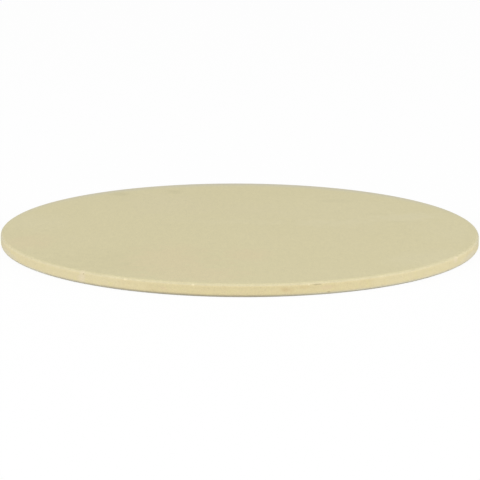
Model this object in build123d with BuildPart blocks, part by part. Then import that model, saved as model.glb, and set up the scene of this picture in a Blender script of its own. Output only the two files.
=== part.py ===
"""A round baking stone: one flat slab of fired cordierite with rounded rims.

Sizes are in millimetres. The slab lies on its underside, the origin is the centre
of the underside, and +Z points up.
"""

import os

from build123d import *

# Overall sizes of the slab
stone_diameter = 380.0
stone_thickness = 10.0

# Roundings of the two rims. The upper one lets dough and a peel slide over it without
# catching, and the lower one gives the fingers a start when the stone is lifted.
top_rim_radius = 2.5
bottom_rim_radius = 2.5

# The stone is pressed and fired in one piece, so the slab is a single solid
with BuildPart() as baking_stone:
    with BuildSketch(Plane.XY) as footprint:
        Circle(stone_diameter / 2)
    extrude(amount=stone_thickness)

    rims = baking_stone.edges().filter_by(GeomType.CIRCLE).sort_by(Axis.Z)
    bottom_rim, top_rim = rims[0], rims[-1]
    fillet(bottom_rim, radius=bottom_rim_radius)
    fillet(top_rim, radius=top_rim_radius)

baking_stone.part.label = "baking_stone"

# One STEP file for the one piece
os.makedirs("parts", exist_ok=True)
export_step(baking_stone.part, "parts/baking_stone.step")
print("baking_stone volume in mm3:", round(baking_stone.part.volume))
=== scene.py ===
# %% [markdown]
# # A round baking stone
#
# The real object is one thing only: cordierite clay, pressed dry in a steel die, sponged along
# both rims while it is still soft, and fired once without a glaze. It could be shown with the
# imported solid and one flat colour, but then it would look like card. What makes it read as
# fired clay is small: rims that a hand has rounded a little unevenly, a few chips, a grain like
# fine sand, and a warmer colour where the flame of the kiln reached it. So the solid stays as
# the fixed frame, and this script models a finer slab in the same place and gives it a finish.

# %% Load the fixed frame
import math
import random

import bmesh
import bpy
from mathutils import Matrix, Quaternion, Vector


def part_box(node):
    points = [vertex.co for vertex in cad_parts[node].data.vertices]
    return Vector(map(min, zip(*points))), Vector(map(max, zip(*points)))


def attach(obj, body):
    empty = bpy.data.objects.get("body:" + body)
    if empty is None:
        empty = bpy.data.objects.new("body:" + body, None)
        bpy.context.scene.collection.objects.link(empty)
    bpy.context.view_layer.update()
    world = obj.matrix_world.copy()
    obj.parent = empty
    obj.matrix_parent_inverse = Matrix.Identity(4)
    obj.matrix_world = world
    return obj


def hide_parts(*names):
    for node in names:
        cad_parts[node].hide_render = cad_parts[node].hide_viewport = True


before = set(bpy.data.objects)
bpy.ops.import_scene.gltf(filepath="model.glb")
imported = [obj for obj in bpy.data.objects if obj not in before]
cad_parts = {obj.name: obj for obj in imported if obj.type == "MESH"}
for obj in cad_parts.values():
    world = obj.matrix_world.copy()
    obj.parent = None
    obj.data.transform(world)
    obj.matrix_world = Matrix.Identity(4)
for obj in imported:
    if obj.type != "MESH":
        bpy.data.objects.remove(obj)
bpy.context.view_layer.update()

low_corner, high_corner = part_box("baking_stone")
RADIUS = (high_corner.x - low_corner.x) / 2
THICKNESS = high_corner.z - low_corner.z
MM = 0.001
print(f"the stone is {2 * RADIUS / MM:.1f} mm across and {THICKNESS / MM:.1f} mm thick")

# %% [markdown]
# ## The camera
#
# The stone is seen from a low angle through a long lens, so its far rim looks nearly as wide as
# its near rim. A camera could be placed by eye, but then the outline would be a few pixels out
# everywhere. Here the distance, the height and the lens were worked out from the outline: the
# width gives the lens for a distance, and the near and far curves give the angle.
#
# A camera looks along its own -Z, so to_track_quat turns its Z away from what it looks at. A
# small turn about that Z then rolls the camera, as a hand does.

# %% Place the camera
CAMERA_DISTANCE = 1.714
CAMERA_ELEVATION = math.radians(12.45)
CAMERA_ROLL = math.radians(0.27)
CAMERA_LENS_MM = 160.8
CAMERA_SENSOR_MM = 36.0
AIM_POINT = Vector((0.18 * MM, 0.0, 0.30 * MM))

camera_place = AIM_POINT + CAMERA_DISTANCE * Vector(
    (0.0, -math.cos(CAMERA_ELEVATION), math.sin(CAMERA_ELEVATION))
)
bpy.ops.object.camera_add(location=camera_place)
camera = bpy.context.object
camera.name = "studio_camera"
camera.data.lens = CAMERA_LENS_MM
camera.data.sensor_width = CAMERA_SENSOR_MM
level_look = (camera_place - AIM_POINT).to_track_quat("Z", "Y")
camera.rotation_mode = "QUATERNION"
camera.rotation_quaternion = level_look @ Quaternion((0, 0, 1), CAMERA_ROLL)
bpy.context.scene.camera = camera
print("the camera stands at", [round(metres, 3) for metres in camera_place])

# %% [markdown]
# ## The pressed slab
#
# A die gives a plain disc with square rims, so a cylinder is the natural start. It could stay
# coarse, but a long rim shows every corner against a white background: 720 sides leave less
# than two thousandths of a millimetre between the chord and the circle.
#
# Everything is deselected before an operator runs, because an operator acts on all that is
# selected, and the loaded solid starts out selected.

# %% Press the blank
RIM_SIDES = 720

bpy.ops.object.select_all(action="DESELECT")
bpy.ops.mesh.primitive_cylinder_add(
    vertices=RIM_SIDES,
    radius=RADIUS,
    depth=THICKNESS,
    end_fill_type="NGON",
    location=(0.0, 0.0, THICKNESS / 2),
)
slab = bpy.context.object
slab.name = "stone_slab"
bpy.ops.object.transform_apply(location=True, rotation=True, scale=True)
print("the blank has", len(slab.data.polygons), "faces")

# %% [markdown]
# ## Picking in code
#
# By hand, an edge is clicked in edit mode. Code could name edges by their numbers, but these
# change with every cut. So a helper puts a question to each edge or face, about its place or
# the way it faces, and selects those that answer yes.

# %% Two helpers for picking
SELECT_MODES = {"edges": "EDGE", "faces": "FACE"}


def select_only(piece):
    """Goes to object mode, with this piece selected and active, and nothing else."""
    if bpy.context.mode != "OBJECT":
        bpy.ops.object.mode_set(mode="OBJECT")
    bpy.ops.object.select_all(action="DESELECT")
    piece.select_set(True)
    bpy.context.view_layer.objects.active = piece


def pick(piece, kind, wanted):
    """In edit mode, selects the edges or faces that wanted says yes to, and counts them."""
    bpy.ops.mesh.select_mode(type=SELECT_MODES[kind])
    bpy.ops.mesh.select_all(action="DESELECT")
    mesh = bmesh.from_edit_mesh(piece.data)
    chosen = [element for element in getattr(mesh, kind) if wanted(element)]
    for element in chosen:
        element.select_set(True)
    mesh.select_flush_mode()
    bmesh.update_edit_mesh(piece.data)
    return len(chosen)


# %% [markdown]
# ## The two rounded rims
#
# A potter runs a damp sponge along both rims, which takes off the sharp edge that would chip at
# the first knock. On this stone both rims end up as quarter rounds of 2.5 mm, with 5 mm of
# upright wall between them. A bump map could fake the roundness, but the rounds are what
# catches the light along the near rim, so they are real: the bevel operator cuts each sharp
# edge into an arc of narrow faces.

# %% Round both rims
RIM_ROUND = 2.5 * MM
ROUND_STEPS = 9
CIRCLE_PROFILE = 0.5


def is_rim(edge):
    """Whether an edge lies level along a rim, and doesn't stand on the wall."""
    heights = [corner.co.z for corner in edge.verts]
    return max(heights) - min(heights) < THICKNESS / 2


select_only(slab)
bpy.ops.object.mode_set(mode="EDIT")
rim_edges = pick(slab, "edges", is_rim)
bpy.ops.mesh.bevel(
    offset=RIM_ROUND,
    offset_type="OFFSET",
    segments=ROUND_STEPS,
    profile=CIRCLE_PROFILE,
    affect="EDGES",
)
print(rim_edges, "rim edges rounded")

# %% [markdown]
# A narrow ring inside each flat face keeps the shading of the round from leaking over the face.
# What is left of the face is flat, and a fan of triangles from one middle point, which poke
# makes, is all that it needs. Two cuts through the wall give it rings that can be moved later.

# %% Add the rings
FLAT_RING = 1.0 * MM
WALL_RINGS = (0.42, 0.58)
NEARLY_UPRIGHT = 0.999


def is_flat_end(face):
    """Whether this is the whole flat face at one end of the disc."""
    return abs(face.normal.z) > NEARLY_UPRIGHT and len(face.verts) == RIM_SIDES


flat_ends = pick(slab, "faces", is_flat_end)
bpy.ops.mesh.inset(thickness=FLAT_RING, depth=0.0)
bpy.ops.mesh.poke()
for share in WALL_RINGS:
    bpy.ops.mesh.select_all(action="SELECT")
    bpy.ops.mesh.bisect(plane_co=(0.0, 0.0, share * THICKNESS), plane_no=(0.0, 0.0, 1.0))
bpy.ops.object.mode_set(mode="OBJECT")
print(flat_ends, "flat ends, and", len(slab.data.polygons), "faces in all")

# %% [markdown]
# ## The touch of the sponge
#
# A sponge held in the hand presses now more, now less, so the rims wander by a tenth or two of
# a millimetre. Every vertex could be moved by a formula, but a Displace modifier with a cloud
# texture does the same with two numbers: how far apart the dents lie and how deep they go. Its
# middle level of 1 makes it push inwards only, so the stone stays inside its true size. A
# vertex group keeps it off the two flat faces.

# %% Make the rims a little uneven
SPONGE_DENTS = {"long_wander": (28 * MM, 0.18 * MM), "short_dents": (6 * MM, 0.08 * MM)}
INWARDS_ONLY = 1.0


def roughen(piece, layers, mid_level, group=""):
    """Moves the surface by cloud textures, each with a name, a spacing and a depth in metres."""
    select_only(piece)
    for name, (spacing, depth) in layers.items():
        clouds = bpy.data.textures.new(name, "CLOUDS")
        clouds.noise_scale = spacing
        clouds.noise_depth = 1
        dent = piece.modifiers.new(name, "DISPLACE")
        dent.texture = clouds
        dent.texture_coords = "LOCAL"
        dent.direction = "NORMAL"
        dent.mid_level = mid_level
        dent.strength = depth
        dent.vertex_group = group
        bpy.ops.object.modifier_apply(modifier=dent.name)


rim_group = slab.vertex_groups.new(name="rims")
rim_start = RADIUS - RIM_ROUND + FLAT_RING / 2
on_the_rims = [vertex.index for vertex in slab.data.vertices if vertex.co.xy.length > rim_start]
rim_group.add(index=on_the_rims, weight=1.0, type="REPLACE")
roughen(slab, SPONGE_DENTS, INWARDS_ONLY, rim_group.name)
print(len(on_the_rims), "vertices of the rims moved")

# %% [markdown]
# ## Chips
#
# Fired clay is brittle, and each knock against an oven rack leaves a small shell-shaped chip.
# Chips could be painted, but a chip shows because its floor faces another way, so each one is
# cut. The cutter is a small rough pebble that is sunk a little into the rim.
#
# A place on the rim is given as a bearing in degrees, 0 towards the viewer and positive to the
# right, and a height above the table in millimetres. The first list is what can be seen on the
# near rim, from left to right: a pinhole, three fresh nicks, a long dark flake, a dark notch
# under it and a nick near the right end. The far side gets a few more, because no stone is
# chipped on one side only.

# %% Where the chips are
SEEN_CHIPS = [
    {"bearing": -36.9, "height": 8.0, "wide": 1.3, "tall": 1.0, "deep": 0.6, "fresh": False},
    {"bearing": -25.8, "height": 8.7, "wide": 2.4, "tall": 2.4, "deep": 0.4, "fresh": True},
    {"bearing": -10.1, "height": 8.8, "wide": 2.6, "tall": 2.2, "deep": 0.4, "fresh": True},
    {"bearing": 15.2, "height": 8.4, "wide": 2.2, "tall": 2.2, "deep": 0.35, "fresh": True},
    {"bearing": 17.1, "height": 8.05, "wide": 7.6, "tall": 1.0, "deep": 0.5, "fresh": False},
    {"bearing": 19.7, "height": 1.7, "wide": 2.2, "tall": 1.2, "deep": 0.5, "fresh": False},
    {"bearing": 60.0, "height": 7.8, "wide": 2.6, "tall": 2.2, "deep": 0.45, "fresh": True},
]
FAR_CHIP_COUNT = 6
FAR_BEARINGS = (80.0, 280.0)
FAR_HEIGHTS = (1.5, 8.5)
FAR_HEIGHT_SPREAD = (-0.4, 0.4)
FAR_WIDE = (1.6, 4.5)
FAR_TALL = (1.1, 2.0)
FAR_DEEP = (0.35, 0.6)
FAR_FRESH_SHARE = 0.5
CHIP_SEED = 11

chance = random.Random(CHIP_SEED)
far_chips = []
for number in range(FAR_CHIP_COUNT):
    far_chips.append(
        {
            "bearing": chance.uniform(*FAR_BEARINGS),
            "height": chance.choice(FAR_HEIGHTS) + chance.uniform(*FAR_HEIGHT_SPREAD),
            "wide": chance.uniform(*FAR_WIDE),
            "tall": chance.uniform(*FAR_TALL),
            "deep": chance.uniform(*FAR_DEEP),
            "fresh": chance.random() < FAR_FRESH_SHARE,
        }
    )
chips = SEEN_CHIPS + far_chips
widest = max(chip["wide"] for chip in chips)
print(len(chips), "chips, the widest", round(widest, 1), "mm")

# %% [markdown]
# A pebble is an icosphere, squashed to the size of its chip. Its middle lies outside the stone
# by as much as it cuts in, and the part of it at the surface is then 0.87 of its full width, so
# it is made that much larger. It carries the material of the break that it leaves: a fresh one,
# or an old one that is darker, from dust and soot and from painted shade.

# %% Place the pebbles
PEBBLE_AT_SURFACE = math.sqrt(3) / 2
PEBBLE_FINENESS = 5


def on_rim(bearing, height):
    """The point of the rim at a bearing in radians and a height, and the way it faces."""
    outwards = Vector((math.sin(bearing), -math.cos(bearing), 0.0))
    centre_height = min(max(height, RIM_ROUND), THICKNESS - RIM_ROUND)
    tilt = math.asin((height - centre_height) / RIM_ROUND)
    facing = outwards * math.cos(tilt) + Vector((0.0, 0.0, math.sin(tilt)))
    centre = outwards * (RADIUS - RIM_ROUND) + Vector((0.0, 0.0, centre_height))
    return centre + facing * RIM_ROUND, facing


def add_pebble(chip, material):
    """Adds the pebble that cuts one chip, with a quarter of its thickness in the stone."""
    bearing = math.radians(chip["bearing"])
    point, facing = on_rim(bearing, chip["height"] * MM)
    along = Vector((math.cos(bearing), math.sin(bearing), 0.0))
    upwards = along.cross(facing)
    deep = chip["deep"] * MM
    bpy.ops.mesh.primitive_ico_sphere_add(
        subdivisions=PEBBLE_FINENESS,
        radius=1.0,
        location=point + facing * deep,
        rotation=Matrix((along, facing, upwards)).transposed().to_euler(),
        scale=(
            chip["wide"] * MM / 2 / PEBBLE_AT_SURFACE,
            2 * deep,
            chip["tall"] * MM / 2 / PEBBLE_AT_SURFACE,
        ),
    )
    bpy.context.object.data.materials.append(material)
    return bpy.context.object


fired_cordierite = bpy.data.materials.new("fired_cordierite")
fresh_break = bpy.data.materials.new("fresh_break")
# the old break is darker from dust and soot, and partly from painted shade
old_break_and_shade = bpy.data.materials.new("old_break_and_shade")
slab.data.materials.append(fired_cordierite)
bpy.ops.object.select_all(action="DESELECT")
pebbles = [add_pebble(chip, fresh_break if chip["fresh"] else old_break_and_shade) for chip in chips]
print(len(pebbles), "pebbles placed")

# %% [markdown]
# The pebbles could be made rough one by one. Here all are joined first, and then two Displace
# modifiers with cloud textures make them lumpy together. Every pebble lies in another part of
# the clouds, so each chip still gets its own ragged outline and shell marks.

# %% Join and roughen the pebbles
PEBBLE_LUMPS = {"shell_marks": (1.3 * MM, 0.36 * MM), "crumbs": (0.35 * MM, 0.12 * MM)}
BOTH_WAYS = 0.5

bpy.ops.object.select_all(action="DESELECT")
for pebble in pebbles:
    pebble.select_set(True)
bpy.context.view_layer.objects.active = pebbles[0]
bpy.ops.object.join()
cutter = bpy.context.object
cutter.name = "pebbles"
bpy.ops.object.transform_apply(location=True, rotation=True, scale=True)
roughen(cutter, PEBBLE_LUMPS, BOTH_WAYS)
print("the pebbles have", len(cutter.data.polygons), "faces")

# %% [markdown]
# The chips could be cut one by one, but one Boolean takes all the pebbles away at once. The
# exact solver is the one that copes with cuts as shallow as these, and TRANSFER hands the
# pebble's material on to the faces that it cuts.

# %% Cut the chips
faces_before = len(slab.data.polygons)
select_only(slab)
cut = slab.modifiers.new("chips", "BOOLEAN")
cut.operation = "DIFFERENCE"
cut.solver = "EXACT"
cut.material_mode = "TRANSFER"
cut.object = cutter
bpy.ops.object.modifier_apply(modifier=cut.name)
bpy.data.objects.remove(cutter)
materials = [slab.data.materials[face.material_index].name for face in slab.data.polygons]
print("the chips changed", faces_before, "faces to", len(materials))
print("fresh faces:", materials.count("fresh_break"), "old:", materials.count("old_break_and_shade"))

# %% [markdown]
# ## Smooth shading
#
# The sponge left no facets, and the rounds are arcs of narrow flat faces. Many more faces would
# hide that, at a cost. Instead the light is blended from one face to the next wherever they
# meet at less than 35 degrees. The rims of the chips are mostly steeper, and stay sharp.

# %% Shade the slab
SMOOTH_ANGLE = math.radians(35)
CM = 0.01

select_only(slab)
bpy.ops.object.shade_smooth_by_angle(angle=SMOOTH_ANGLE)
closed = bmesh.new()
closed.from_mesh(slab.data)
open_edges = sum(not edge.is_manifold for edge in closed.edges)
print("open edges:", open_edges, "volume in cm3:", round(closed.calc_volume() / CM**3, 1))
closed.free()

# %% [markdown]
# ## How the finish is written
#
# A material is a net of nodes, and a net drawn by hand is hard to read as text. So a small class
# wraps the output of a node, and a sum written with such values adds its Math nodes.

# %% Wrap the output of a node
class Value:
    """One output of a node. A sum written with values becomes Math nodes."""

    def __init__(self, finish, node, name=0):
        self.finish = finish
        self.node = node
        self.socket = node.outputs[name]

    def out(self, name):
        """Another output of the same node."""
        return Value(self.finish, self.node, name)

    def maths(self, operation, first, second):
        """The Math node for this operation on two values or numbers."""
        return self.finish.node("ShaderNodeMath", {"operation": operation}, {0: first, 1: second})

    def __add__(self, other):
        return self.maths("ADD", self, other)

    def __sub__(self, other):
        return self.maths("SUBTRACT", self, other)

    def __rsub__(self, other):
        return self.maths("SUBTRACT", other, self)

    def __mul__(self, other):
        return self.maths("MULTIPLY", self, other)

    __radd__ = __add__
    __rmul__ = __mul__


# %% [markdown]
# A second class holds the net of one material. Every node that isn't a sum comes from its method
# called node, which takes the type of the node, its settings and what goes into its sockets. The
# sockets of some nodes share a name, and those are given by their number. The other methods are
# short names for the few kinds of node that this stone needs. Noise runs from 0 to 1, so its
# middle is taken away.

# %% Build a net of nodes
MIX_UNDER = 6
MIX_OVER = 7
MIX_RESULT = 2
NOISE_MIDDLE = 0.5


class Finish:
    """The look of a material, or of the world, built node by node."""

    def __init__(self, owner):
        owner.use_nodes = True
        self.tree = owner.node_tree
        self.tree.nodes.clear()

    def node(self, kind, settings=None, sockets=None):
        """Adds a node: its settings first, then the values or links of its sockets."""
        made = self.tree.nodes.new(kind)
        for name, setting in (settings or {}).items():
            setattr(made, name, setting)
        for name, given in (sockets or {}).items():
            if isinstance(given, Value):
                self.tree.links.new(given.socket, made.inputs[name])
            else:
                made.inputs[name].default_value = given
        return Value(self, made) if made.outputs else made

    def object_place(self):
        """The place on the piece, in metres from the origin of its object."""
        return self.node("ShaderNodeTexCoord").out("Object")

    def moved(self, place, centre=(0, 0, 0), turn=0.0, scale=(1, 1, 1)):
        """The place as read from a frame with this centre, turn and scale."""
        return self.node(
            "ShaderNodeMapping",
            {"vector_type": "TEXTURE"},
            {"Vector": place, "Location": centre, "Rotation": (0, 0, turn), "Scale": scale},
        )

    def measured(self, operation, place, other=(0, 0, 0)):
        """A number from vectors: a LENGTH, a DISTANCE or a DOT_PRODUCT."""
        return self.node(
            "ShaderNodeVectorMath", {"operation": operation}, {0: place, 1: other}
        ).out("Value")

    def step(self, value, start, end):
        """0 before start, 1 after end, and a soft slope between them."""
        return self.node(
            "ShaderNodeMapRange",
            {"interpolation_type": "SMOOTHSTEP"},
            {"Value": value, "From Min": start, "From Max": end},
        )

    def clouds(self, place, size, detail=2.0):
        """Soft noise about 0, in lumps of this size in metres."""
        noise = self.node(
            "ShaderNodeTexNoise", None, {"Vector": place, "Scale": 1 / size, "Detail": detail}
        )
        return noise - NOISE_MIDDLE

    def cells(self, place, spacing):
        """Scattered points, with the Distance to the nearest and the random Color of its cell."""
        return self.node("ShaderNodeTexVoronoi", None, {"Vector": place, "Scale": 1 / spacing})

    def shade_of(self, cells):
        """A random number between 0 and 1, the same all over a cell."""
        return self.node("ShaderNodeSeparateColor", None, {"Color": cells.out("Color")}).out("Red")

    def mixed(self, amount, under, over):
        """The colour under, with this amount of the colour over laid on it."""
        return self.node(
            "ShaderNodeMix",
            {"data_type": "RGBA", "clamp_factor": True},
            {"Factor": amount, MIX_UNDER: under, MIX_OVER: over},
        ).out(MIX_RESULT)

    def shaded(self, colour, tone):
        """The colour made lighter or darker by a tone near 1."""
        return self.node(
            "ShaderNodeVectorMath", {"operation": "SCALE"}, {0: colour, "Scale": tone}
        )


# %% [markdown]
# ## Fired cordierite
#
# Bare cordierite is buff, the colour of dry sand, and several zones differ on this stone. The
# wall is more like straw, and it is painted warmest at the front, with paler ends: a painted
# sheen, for the whiter reflection that the wall gives where it turns away. The upper face is a
# little greyer, and so is the rounded edge that the sponge rubbed. Low on the wall runs a darker
# grey line of painted shade under the rim, darkest in the middle and ashen to the right, and
# below it the foot is rubbed pale. The back of the stone is painted darker and greyer in
# patches, as painted shade: the edge is greyest there, the wall less and less so towards the
# bottom. A crescent of the face, the part of the disc that a disc moved forwards would leave
# bare, has the same painted shade. The underside keeps pale patches of the wash that stops it
# from sticking to the shelf.
#
# The zones could be painted on an image, but an image has seams and a fixed sharpness. So each
# zone is found by its place, with a soft step where it starts or ends: in the height above the
# table, in the distance from the middle, or in the bearing. Some noise in the height makes the
# borders wander.

# %% Find the zones by place
WANDER = 0.5 * MM
FACE_START = (THICKNESS - 0.9 * MM, THICKNESS - 0.35 * MM)
WALL_END = (THICKNESS - 2.1 * MM, THICKNESS - 1.1 * MM)
# painted shade: the darker low line under the rim ends between these heights
LOW_SHADE_END = (0.6 * MM, 2.8 * MM)
FOOT_START_DOWNWARDS = (1.6 * MM, 0.4 * MM)
BASE_END = (0.0, 0.4 * MM)
# painted shade: the shoulder, where the round starts, is a trace darker
SHOULDER_START = (RADIUS - 3.0 * MM, RADIUS - 2.0 * MM)
SHOULDER_END = (RADIUS - 1.2 * MM, RADIUS - 0.7 * MM)
TURN_START = 0.80 * RADIUS
# Painted sheen: the wall is painted warmer towards this bearing, so its ends look paler.
SHEEN_WARM_BEARING = 4
# painted shade: the low line is darkest towards this bearing
FRONT_SHADE_BEARING = -7
ASH_BEARING = 40


def turned_to(finish, place, bearing):
    """1 where the rim faces this bearing in degrees, and 0 beyond 37 degrees from it."""
    turn = math.radians(bearing)
    direction = (math.sin(turn), -math.cos(turn), 0.0)
    return finish.step(finish.measured("DOT_PRODUCT", place, direction), TURN_START, RADIUS)


stone = Finish(fired_cordierite)
place = stone.object_place()
parts = stone.node("ShaderNodeSeparateXYZ", None, {"Vector": place})
height = parts.out("Z") + WANDER * stone.clouds(place, size=9 * MM)
from_middle = stone.measured("DISTANCE", place, (0.0, 0.0, THICKNESS))

on_face = stone.step(height, *FACE_START)
over_wall = stone.step(height, *WALL_END)
over_low_shade = stone.step(height, *LOW_SHADE_END)
on_foot = stone.step(height, *FOOT_START_DOWNWARDS)
off_base = stone.step(height, *BASE_END)
on_wall = (1 - over_wall) * over_low_shade
on_edge = over_wall * (1 - on_face)
shoulder_shade = stone.step(from_middle, *SHOULDER_START)
shoulder_shade = shoulder_shade * (1 - stone.step(from_middle, *SHOULDER_END))
# painted sheen: 1 at the warm front of the wall, 0 towards its paler ends
sheen_warm_front = turned_to(stone, place, SHEEN_WARM_BEARING)
front_shade = turned_to(stone, place, FRONT_SHADE_BEARING)
ashen = turned_to(stone, place, ASH_BEARING)
print("zones by place:", len(stone.tree.nodes), "nodes")

# %% [markdown]
# The back of the stone is painted darker as shade, and how far back a place lies says how much it
# gets. One even layer would look like paint, so noise makes it patchy, and it thickens with the
# height.

# %% Find the painted back shade
CRESCENT = 14 * MM
CRESCENT_START = (RADIUS - 5 * MM, RADIUS + CRESCENT - 3 * MM)
BACK_START = (-0.36 * RADIUS, -0.07 * RADIUS)
BACK_SHADE_RISE = (3.5 * MM, THICKNESS - 0.5 * MM)
LOW_BACK_SHADE = 0.35
HIGH_BACK_SHADE = 0.91
PATCHINESS = 1.3

from_front = stone.measured("DISTANCE", place, (0.0, -CRESCENT, THICKNESS))
# painted shade: a crescent at the back of the face
on_crescent = stone.step(from_front, *CRESCENT_START)
at_the_back = stone.step(parts.out("Y"), *BACK_START)
patchy = 1 + PATCHINESS * stone.clouds(place, size=3.5 * MM, detail=4.0)
thickening = LOW_BACK_SHADE + (HIGH_BACK_SHADE - LOW_BACK_SHADE) * stone.step(height, *BACK_SHADE_RISE)
# painted shade at the back, patchy and darker towards the top
back_shade = at_the_back * thickening * patchy
print("with smoke:", len(stone.tree.nodes), "nodes")

# %% [markdown]
# Now each zone gets its colour, laid over the one before from the painted shade of the low line
# up to the face, and the underside comes last. The noise for the wash has a high detail, so its
# patches are ragged.

# %% Colour the zones
FACE_COLOUR = (0.660, 0.599, 0.364, 1.0)
# painted shade: the greyer colour of the crescent at the back of the face
CRESCENT_SHADE_COLOUR = (0.604, 0.568, 0.430, 1.0)
EDGE_COLOUR = (0.641, 0.573, 0.364, 1.0)
WALL_COLOUR = (0.692, 0.608, 0.371, 1.0)
# painted sheen: the warmer colour of the wall at the front
SHEEN_WARM_COLOUR = (0.681, 0.587, 0.336, 1.0)
# painted shade: the grey of the low line, and of the wall towards its ends
SHADE_GREY_COLOUR = (0.630, 0.585, 0.450, 1.0)
ASHEN_COLOUR = (0.705, 0.680, 0.535, 1.0)
# painted shade: the darkest part of the low line, at the front
DEEP_SHADE_COLOUR = (0.490, 0.433, 0.292, 1.0)
FOOT_COLOUR = (0.700, 0.650, 0.490, 1.0)
# painted shade: the darker, greyer colour of the back
BACK_SHADE_COLOUR = (0.508, 0.485, 0.372, 1.0)
BASE_COLOUR = (0.615, 0.550, 0.355, 1.0)
WASH_COLOUR = (0.700, 0.660, 0.520, 1.0)
WASH_SHARE = 0.6
WASH_START = (0.02, 0.22)

# the low line: painted shade, with ash to the right
low_shade_and_ash = stone.mixed(front_shade, SHADE_GREY_COLOUR, DEEP_SHADE_COLOUR)
low_shade_and_ash = stone.mixed(ashen, low_shade_and_ash, ASHEN_COLOUR)
wall = stone.mixed(sheen_warm_front, WALL_COLOUR, SHEEN_WARM_COLOUR)
wall = stone.mixed(over_low_shade, low_shade_and_ash, wall)
wall = stone.mixed(on_foot, wall, FOOT_COLOUR)
face = stone.mixed(on_crescent * patchy, FACE_COLOUR, CRESCENT_SHADE_COLOUR)
body = stone.mixed(over_wall, wall, EDGE_COLOUR)
body = stone.mixed(back_shade, body, BACK_SHADE_COLOUR)
body = stone.mixed(on_face, body, face)
wash = stone.step(stone.clouds(place, size=30 * MM, detail=5.0), *WASH_START)
base = stone.mixed(WASH_SHARE * wash, BASE_COLOUR, WASH_COLOUR)
body = stone.mixed(off_base, base, body)
print("with colours:", len(stone.tree.nodes), "nodes")

# %% [markdown]
# ## Mottling
#
# Clay is never one even colour. Iron leaves rusty and yellow patches of a few millimetres on the
# wall, and a thin haze lies on parts of the face. The rusty patches are strongest at the front,
# as part of the painted sheen. A picture of clay could be laid over the stone, but it would
# repeat and blur. Noise in the stone's own coordinates has no seams and keeps its real size:
# each layer is given in millimetres.

# %% Mottle the colour
RUST_COLOUR = (0.640, 0.525, 0.290, 1.0)
STRAW_COLOUR = (0.690, 0.618, 0.330, 1.0)
HAZE_COLOUR = (0.661, 0.597, 0.373, 1.0)
BROAD_RUST = 0.6
RUST_START = (0.0, 0.35)
RUST_SHARE = 0.25
# more rust at the front, as part of the painted sheen
SHEEN_FRONT_RUST_SHARE = 0.35
STRAW_START = (0.0, 0.30)
STRAW_SHARE = 0.7
HAZE_START = (0.0, 0.25)
HAZE_SHARE = 0.25
BACK_SHADE_COVER = 0.85

# the rust and straw patches fade out under the painted shade at the back
off_back_shade = 1 - BACK_SHADE_COVER * at_the_back
rust_clouds = stone.clouds(place, size=6 * MM, detail=3.0)
rust_clouds = rust_clouds + BROAD_RUST * stone.clouds(place, size=20 * MM)
rust_share = RUST_SHARE + SHEEN_FRONT_RUST_SHARE * sheen_warm_front
rust = stone.step(rust_clouds, *RUST_START) * on_wall * rust_share * off_back_shade
straw = stone.step(stone.clouds(place, size=4 * MM), *STRAW_START) * on_wall * off_back_shade
haze = stone.step(stone.clouds(place, size=60 * MM, detail=1.0), *HAZE_START)
body = stone.mixed(rust, body, RUST_COLOUR)
body = stone.mixed(STRAW_SHARE * straw, body, STRAW_COLOUR)
body = stone.mixed(HAZE_SHARE * haze * on_face, body, HAZE_COLOUR)
print("with mottling:", len(stone.tree.nodes), "nodes")

# %% [markdown]
# ## Grain
#
# The sand in the clay makes its grain, and uneven drying leaves broad clouds. These only make
# the clay lighter or darker, so instead of colours they add up to one number near 1, the tone.
# The noise has its middle at 0, and so have the grains, so they add as much light as they take.
# The grains are the cells of a Voronoi texture: high in the middle, low between them, and each a
# shade of its own. On the face the lumps are drawn out from front to back, the way that the
# loose clay was levelled in the die. The shoulder, where the face meets the round, is a trace
# darker: painted shade, which tones down the light that the round catches where it starts to
# tilt towards the lamps. The upper half of the wall is a trace darker too.

# %% Shade the grain
GRAIN_SPACING = 0.45 * MM
MEAN_DISTANCE = 0.56
FINE_SAND_SHARE = 0.8
MEAN_SHADE = 0.5
DRAWN_OUT = (1, 2.5, 1)
BROAD_TONE = 0.02
MOTTLING_TONE = 0.02
SAND_TONE = 0.17
GRAIN_TONE = 0.19
WALL_MOTTLING_TONE = 0.05
DRAWN_OUT_TONE = 0.08
SHADE_TONE = 0.05
WALL_SHADE_LOSS = 0.7
BEAD_TONE = 0.26
SHOULDER_SHADE_TONE = 0.035
UPPER_WALL_TONE = 0.02
UPPER_WALL_START = (4 * MM, 7 * MM)

broad = stone.clouds(place, size=110 * MM)
mottling = stone.clouds(place, size=9 * MM, detail=4.0)
drawn_out = stone.clouds(stone.moved(place, scale=DRAWN_OUT), size=3 * MM, detail=3.0)
beads = stone.clouds(place, size=5 * MM, detail=3.0)
sand = stone.clouds(place, size=1.1 * MM, detail=4.0)
fine_sand = stone.clouds(place, size=0.4 * MM)
grain_cells = stone.cells(place, GRAIN_SPACING)
grains = MEAN_DISTANCE - grain_cells.out("Distance") + FINE_SAND_SHARE * fine_sand
shade = stone.shade_of(grain_cells) - MEAN_SHADE
on_upper_wall = stone.step(height, *UPPER_WALL_START)

tone = 1 + BROAD_TONE * broad + MOTTLING_TONE * mottling + SAND_TONE * sand + GRAIN_TONE * grains
tone = tone + WALL_MOTTLING_TONE * on_wall * mottling + DRAWN_OUT_TONE * on_face * drawn_out
tone = tone + SHADE_TONE * shade * (1 - WALL_SHADE_LOSS * on_wall)
# painted shade on the shoulder
tone = tone + BEAD_TONE * beads * on_edge - SHOULDER_SHADE_TONE * shoulder_shade
tone = tone - UPPER_WALL_TONE * on_upper_wall * on_wall
print("with grain:", len(stone.tree.nodes), "nodes")

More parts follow.
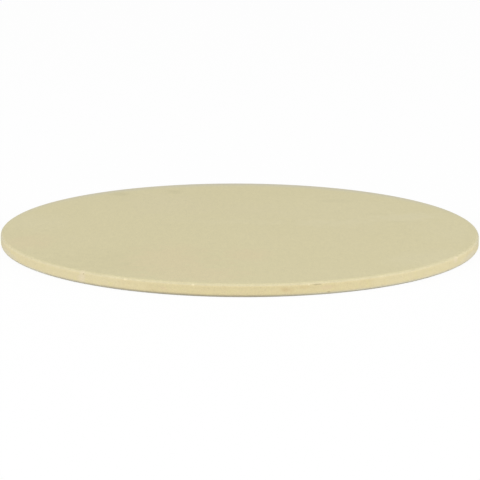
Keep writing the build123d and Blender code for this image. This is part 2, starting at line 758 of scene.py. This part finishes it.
# %% [markdown]
# ## Specks and pinholes
#
# Here and there a grain of iron has burnt to a brown speck, a grain of crushed brick, which
# potters call grog, shows pale, and a bubble has left a pinhole. Each pinhole is also painted
# darker, as the shade in its hollow. A Voronoi texture gives scattered points: the distance to
# the nearest point makes the dot, and the random colour of its cell says whether this cell has
# one. Each kind comes in two sizes.

# %% Scatter the specks
SPECK_COLOUR = (0.330, 0.240, 0.130, 1.0)
GROG_COLOUR = (0.780, 0.735, 0.560, 1.0)
SPECK_SHARE = 0.45
GROG_SHARE = 0.30
# painted shade: how much darker a pinhole is painted
PINHOLE_SHADE_TONE = 0.15
LARGE_SPECKS = {"spacing": 5 * MM, "size": 0.7 * MM, "share": 0.07}
SMALL_SPECKS = {"spacing": 1.9 * MM, "size": 0.35 * MM, "share": 0.12}
LARGE_GROG = {"spacing": 2.2 * MM, "size": 0.7 * MM, "share": 0.20}
SMALL_GROG = {"spacing": 1.3 * MM, "size": 0.5 * MM, "share": 0.25}
LARGE_PINHOLES = {"spacing": 6 * MM, "size": 0.7 * MM, "share": 0.10}
SMALL_PINHOLES = {"spacing": 1.7 * MM, "size": 0.35 * MM, "share": 0.15}
DOT_CORE = 0.3
DOT_END = 0.5
SHARP_END = 1.001


def scattered(finish, place, spacing, size, share):
    """Dots of about this size, in this share of cells of this spacing, in metres."""
    cells = finish.cells(place, spacing)
    chosen = finish.step(finish.shade_of(cells), 1 - share, SHARP_END - share)
    distance = cells.out("Distance")
    near = 1 - finish.step(distance, DOT_CORE * size / spacing, DOT_END * size / spacing)
    return near * chosen


specks = scattered(stone, place, **LARGE_SPECKS) + scattered(stone, place, **SMALL_SPECKS)
grog = scattered(stone, place, **LARGE_GROG) + scattered(stone, place, **SMALL_GROG)
pinholes = scattered(stone, place, **LARGE_PINHOLES) + scattered(stone, place, **SMALL_PINHOLES)
body = stone.mixed(GROG_SHARE * grog, body, GROG_COLOUR)
body = stone.mixed(SPECK_SHARE * specks, body, SPECK_COLOUR)
# painted shade in each pinhole
tone = tone - PINHOLE_SHADE_TONE * pinholes
print("with specks:", len(stone.tree.nodes), "nodes")

# %% [markdown]
# ## Marks on the face
#
# Some marks belong to one place. On the face, the work of the press and of hands has left faint
# pale, dark and greyish smears, and a blush of iron at the front left. Each could be painted, but
# a list of soft ovals can be read and changed. The centres and sizes are in millimetres, to the
# right and away from the viewer, the turns are in degrees, and the share says how much of the
# colour is laid on.

# %% List the smears
PALE_SMEAR = (0.690, 0.632, 0.415, 1.0)
DARK_SMEAR = (0.600, 0.545, 0.325, 1.0)
BLUSH = (0.669, 0.590, 0.363, 1.0)
FACE_MARKS = [
    {"centre": (78, 22), "turn": 4, "size": (84, 40), "share": 0.34, "colour": PALE_SMEAR},
    {"centre": (138, 45), "turn": 14, "size": (92, 42), "share": 0.50, "colour": PALE_SMEAR},
    {"centre": (0, 24), "turn": 0, "size": (130, 30), "share": 0.22, "colour": PALE_SMEAR},
    {"centre": (-166, 18), "turn": 0, "size": (70, 90), "share": 0.26, "colour": PALE_SMEAR},
    {"centre": (165, 0), "turn": 0, "size": (70, 130), "share": 0.20, "colour": PALE_SMEAR},
    {"centre": (142, -100), "turn": 38, "size": (100, 56), "share": 0.30, "colour": PALE_SMEAR},
    {"centre": (-62, 95), "turn": 0, "size": (110, 130), "share": 0.80, "colour": HAZE_COLOUR},
    {"centre": (5, 75), "turn": 0, "size": (70, 90), "share": 0.50, "colour": HAZE_COLOUR},
    {"centre": (81, 112), "turn": 1, "size": (44, 22), "share": 0.45, "colour": DARK_SMEAR},
    {"centre": (112, 58), "turn": 2, "size": (30, 14), "share": 0.40, "colour": DARK_SMEAR},
    {"centre": (129, 27), "turn": 2, "size": (30, 14), "share": 0.25, "colour": DARK_SMEAR},
    {"centre": (-103, 137), "turn": 0, "size": (22, 26), "share": 0.75, "colour": DARK_SMEAR},
    {"centre": (-58, 148), "turn": 0, "size": (20, 22), "share": 0.75, "colour": DARK_SMEAR},
    {"centre": (-80, -118), "turn": 20, "size": (200, 116), "share": 0.34, "colour": DARK_SMEAR},
    {"centre": (86, 76), "turn": 0, "size": (160, 180), "share": 0.20, "colour": PALE_SMEAR},
    {"centre": (-52, -116), "turn": 0, "size": (82, 150), "share": 1.00, "colour": BLUSH},
    {"centre": (-28, -160), "turn": 0, "size": (96, 60), "share": 1.00, "colour": BLUSH},
    {"centre": (5, -96), "turn": 0, "size": (50, 64), "share": 1.00, "colour": BLUSH},
    {"centre": (-164, -56), "turn": 0, "size": (56, 70), "share": 1.00, "colour": BLUSH},
]
largest = max(max(mark["size"]) for mark in FACE_MARKS)
print(len(FACE_MARKS), "smears, the largest", largest, "mm long")

# %% [markdown]
# The Mapping node reads the place from the middle of an oval, with the oval's turn and size, and
# the length of what it gives is 1 on the oval's edge. Noise in that length makes the edge ragged:
# fine streaks that run from left to right, and lumps of about a centimetre.

# %% Lay the smears on the face
OVAL_CORE = 0.25
STREAKED = (14, 1, 1)
STREAK_RAGGEDNESS = 0.8
PATCH_RAGGEDNESS = 1.4


def oval(finish, place, centre, turn, size, ragged):
    """1 in the middle of an oval and 0 outside it, with centre and size in metres."""
    half_size = [extent / 2 for extent in size]
    reach = finish.measured("LENGTH", finish.moved(place, centre, turn, half_size))
    return 1 - finish.step(reach + ragged, OVAL_CORE, 1.0)


streaks = stone.clouds(stone.moved(place, scale=STREAKED), size=2.5 * MM, detail=3.0)
ragged_smear = STREAK_RAGGEDNESS * streaks
ragged_smear = ragged_smear + PATCH_RAGGEDNESS * stone.clouds(place, size=11 * MM)
for mark in FACE_MARKS:
    centre = (mark["centre"][0] * MM, mark["centre"][1] * MM, THICKNESS)
    size = (mark["size"][0] * MM, mark["size"][1] * MM, THICKNESS)
    marked = oval(stone, place, centre, math.radians(mark["turn"]), size, ragged_smear)
    body = stone.mixed(mark["share"] * marked * on_face, body, mark["colour"])
print("with smears:", len(stone.tree.nodes), "nodes")

# %% [markdown]
# ## Marks on the wall
#
# On the wall there are two pale dabs of kiln wash, brown smudges and rosy ones, and near the
# bottom ash on the left and, towards both ends, the grey of the low line, as painted shade where
# the wall turns away. They are ovals too, turned to their bearing, with a width and a height in
# millimetres. They reach a little way into the stone, so the curve of the wall doesn't cut them
# short.

# %% Mark the wall
DAB = (0.735, 0.640, 0.445, 1.0)
SMUDGE = (0.610, 0.485, 0.255, 1.0)
ROSE = (0.690, 0.565, 0.350, 1.0)
WALL_MARKS = [
    {"bearing": -37.4, "height": 5.0, "size": (9.5, 14.0), "share": 0.75, "colour": DAB},
    {"bearing": 59.4, "height": 7.2, "size": (9.0, 7.0), "share": 0.80, "colour": DAB},
    {"bearing": 9.8, "height": 5.7, "size": (9.0, 5.5), "share": 0.75, "colour": SMUDGE},
    {"bearing": 11.2, "height": 5.0, "size": (7.0, 5.0), "share": 0.35, "colour": SMUDGE},
    {"bearing": 14.0, "height": 6.7, "size": (12.0, 4.0), "share": 0.40, "colour": SMUDGE},
    {"bearing": -16.6, "height": 4.8, "size": (8.0, 4.0), "share": 0.60, "colour": ROSE},
    {"bearing": 19.2, "height": 5.7, "size": (14.0, 5.0), "share": 0.80, "colour": ROSE},
    {"bearing": -55.0, "height": 0.9, "size": (44.0, 4.0), "share": 0.60, "colour": ASHEN_COLOUR},
    # painted shade: the grey of the low line towards both ends
    {"bearing": -70.0, "height": 2.6, "size": (70.0, 9.0), "share": 0.50, "colour": SHADE_GREY_COLOUR},
    {"bearing": 69.0, "height": 2.8, "size": (60.0, 9.0), "share": 0.60, "colour": SHADE_GREY_COLOUR},
]
MARK_THICKNESS = 20 * MM
EDGE_RAGGEDNESS = 1.2

ragged_edge = EDGE_RAGGEDNESS * stone.clouds(place, size=2.5 * MM, detail=3.0)
for mark in WALL_MARKS:
    bearing = math.radians(mark["bearing"])
    centre = (RADIUS * math.sin(bearing), -RADIUS * math.cos(bearing), mark["height"] * MM)
    size = (mark["size"][0] * MM, MARK_THICKNESS, mark["size"][1] * MM)
    marked = oval(stone, place, centre, bearing, size, ragged_edge)
    body = stone.mixed(mark["share"] * marked, body, mark["colour"])
print("with", len(WALL_MARKS), "marks on the wall:", len(stone.tree.nodes), "nodes")

# %% [markdown]
# ## The surface itself
#
# Unglazed clay scatters light almost evenly, so its roughness is high everywhere and only a
# little lower where the sponge rubbed the edges. Sand, grains and pinholes are too small to
# model one by one, so they go through a Bump node, with their real depth in metres. Larger
# forms, the rounds and the chips, are already in the mesh.

# %% Join the finish to its shader
CLAY_ROUGHNESS = 0.93
RUBBED_SMOOTHER = 0.10
SAND_ROUGHER = 0.10
SAND_DEPTH = 0.04 * MM
GRAIN_DEPTH = 0.06 * MM
PINHOLE_DEPTH = 0.25 * MM


def finish_surface(finish, colour, roughness, relief):
    """Adds the shader and the output: a matt surface with a fine relief in metres."""
    bump = finish.node("ShaderNodeBump", None, {"Strength": 1.0, "Distance": 1.0, "Height": relief})
    shader = finish.node(
        "ShaderNodeBsdfPrincipled",
        None,
        {"Base Color": colour, "Roughness": roughness, "Normal": bump},
    )
    finish.node("ShaderNodeOutputMaterial", None, {"Surface": shader})


roughness = CLAY_ROUGHNESS - RUBBED_SMOOTHER * on_edge + SAND_ROUGHER * sand
relief = SAND_DEPTH * sand + GRAIN_DEPTH * grains - PINHOLE_DEPTH * pinholes
finish_surface(stone, stone.shaded(body, tone), roughness, relief)
print("fired_cordierite:", len(stone.tree.nodes), "nodes")

# %% [markdown]
# ## Fresh and old breaks
#
# Inside a fresh chip the clay has never met the sponge or the flame. It is paler, and its grain
# is coarser, because the break runs round the sand grains. An old chip has taken up dust and
# soot, and its floor is brown. Its dark colour is also painted shade, for the narrow groove of
# the long flake, which lies in shadow. Both are the same finish in other colours, so one
# function makes the two.

# %% The finish of the chips
BREAK_COLOUR = (0.830, 0.750, 0.500, 1.0)
CRUMB_COLOUR = (0.740, 0.650, 0.420, 1.0)
# dust and soot, and painted shade for the flake's groove, darken an old chip
DUST_AND_SHADE_COLOUR = (0.600, 0.520, 0.310, 1.0)
SOOT_AND_SHADE_COLOUR = (0.450, 0.380, 0.220, 1.0)
CRUMB_SPACING = 0.4 * MM
CRUMB_DEPTH = 0.10 * MM
GAP_START = (0.2, 0.8)
BREAK_ROUGHNESS = 0.90
GAP_ROUGHER = 0.10


def finish_break(material, high_colour, low_colour):
    """The floor of a chip: crumbs in the one colour, and the gaps between them in the other."""
    broken = Finish(material)
    gaps = broken.cells(broken.object_place(), CRUMB_SPACING).out("Distance")
    colour = broken.mixed(broken.step(gaps, *GAP_START), high_colour, low_colour)
    finish_surface(broken, colour, BREAK_ROUGHNESS + GAP_ROUGHER * gaps, -CRUMB_DEPTH * gaps)
    print(material.name, "has", len(broken.tree.nodes), "nodes")


finish_break(fresh_break, BREAK_COLOUR, CRUMB_COLOUR)
finish_break(old_break_and_shade, DUST_AND_SHADE_COLOUR, SOOT_AND_SHADE_COLOUR)

# %% [markdown]
# ## Joining the frame
#
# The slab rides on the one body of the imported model, and stands in for its plain solid.

# %% Put the slab in the frame
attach(slab, "root")
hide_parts("baking_stone")
print(slab.name, "stands in for baking_stone")

# %% [markdown]
# ## The studio
#
# The stone is lit as in a shop's light tent: even light from all round, and four softboxes that
# stand low in front and at the sides. So the wall is a little brighter than the face, and the
# upper round is the brightest line. Under the lower round it gets dark quickly, because the table
# there is a mid grey to the light. To the camera the table is white: a Light Path node tells a
# ray of the camera from a ray of light. A twelfth of what the camera sees is still the lit table,
# which keeps the stone's own shadow.

# %% Lay the table
TABLE_SIZE = 24.0
TABLE_DROP = 0.1 * MM
TABLE_GREY = (0.40, 0.40, 0.40, 1.0)
WHITE = (1.0, 1.0, 1.0, 1.0)
SHADOW_SHARE = 0.08


def seen_directly(finish):
    """1 for a ray from the camera, or one that a shiny or clear surface sends on."""
    path = finish.node("ShaderNodeLightPath")
    seen = path.out("Is Camera Ray") + path.out("Is Glossy Ray") + path.out("Is Transmission Ray")
    return finish.step(seen, 0.0, 1.0)


bpy.ops.object.select_all(action="DESELECT")
bpy.ops.mesh.primitive_plane_add(size=TABLE_SIZE, location=(0.0, 0.0, -TABLE_DROP))
table = bpy.context.object
table.name = "table"
table_material = bpy.data.materials.new("table")
table.data.materials.append(table_material)

table_finish = Finish(table_material)
directly = seen_directly(table_finish)
table_colour = table_finish.mixed(directly, TABLE_GREY, WHITE)
lit = table_finish.node("ShaderNodeBsdfDiffuse", None, {"Color": table_colour})
white = table_finish.node("ShaderNodeEmission", None, {"Color": WHITE, "Strength": 1.0})
both = table_finish.node(
    "ShaderNodeMixShader", None, {0: (1 - SHADOW_SHARE) * directly, 1: lit, 2: white}
)
table_finish.node("ShaderNodeOutputMaterial", None, {"Surface": both})
print("the table is", TABLE_SIZE, "m across")

# %% [markdown]
# The tent is the world itself. It could be a dome of cloth, but a world with one colour gives
# the same even light. It is three quarters of white to the stone, and white to the camera.

# %% Raise the light tent
ROOM_LIGHT = 0.74

world = bpy.data.worlds.new("light_tent")
bpy.context.scene.world = world
tent = Finish(world)
tent_strength = ROOM_LIGHT + (1 - ROOM_LIGHT) * seen_directly(tent)
tent_light = tent.node("ShaderNodeBackground", None, {"Color": WHITE, "Strength": tent_strength})
tent.node("ShaderNodeOutputWorld", None, {"Surface": tent_light})
print("the tent gives", ROOM_LIGHT, "of full light")

# %% [markdown]
# The power of a softbox is worked out from what it should do. An area light of P watts gives
# P / (pi * distance squared) on a surface that faces it, and a white surface then looks 1 / pi
# as bright. So a level of 0.25 adds 0.25 to the brightness of a white card held towards it.
#
# The view transform is set to Standard, which shows a colour as it is written.

# %% Hang the softboxes
SOFTBOX_DISTANCE = 2.6
SOFTBOX_ELEVATION = math.radians(12)
SOFTBOX_SIZE = (1.4, 0.9)
SOFTBOXES = {
    "far_left_softbox": {"bearing": -75, "level": 0.255},
    "near_left_softbox": {"bearing": -38, "level": 0.250},
    "near_right_softbox": {"bearing": 38, "level": 0.260},
    "far_right_softbox": {"bearing": 75, "level": 0.268},
}

for name, made in SOFTBOXES.items():
    turn = math.radians(made["bearing"])
    towards = Vector((math.sin(turn), -math.cos(turn), math.tan(SOFTBOX_ELEVATION))).normalized()
    bpy.ops.object.light_add(type="AREA", location=towards * SOFTBOX_DISTANCE)
    softbox = bpy.context.object
    softbox.name = name
    softbox.rotation_euler = towards.to_track_quat("Z", "Y").to_euler()
    softbox.data.shape = "RECTANGLE"
    softbox.data.size, softbox.data.size_y = SOFTBOX_SIZE
    softbox.data.energy = made["level"] * math.pi**2 * SOFTBOX_DISTANCE**2
    softbox.visible_camera = False
    print(name, "gives", round(softbox.data.energy, 1), "W")

bpy.context.scene.view_settings.view_transform = "Standard"
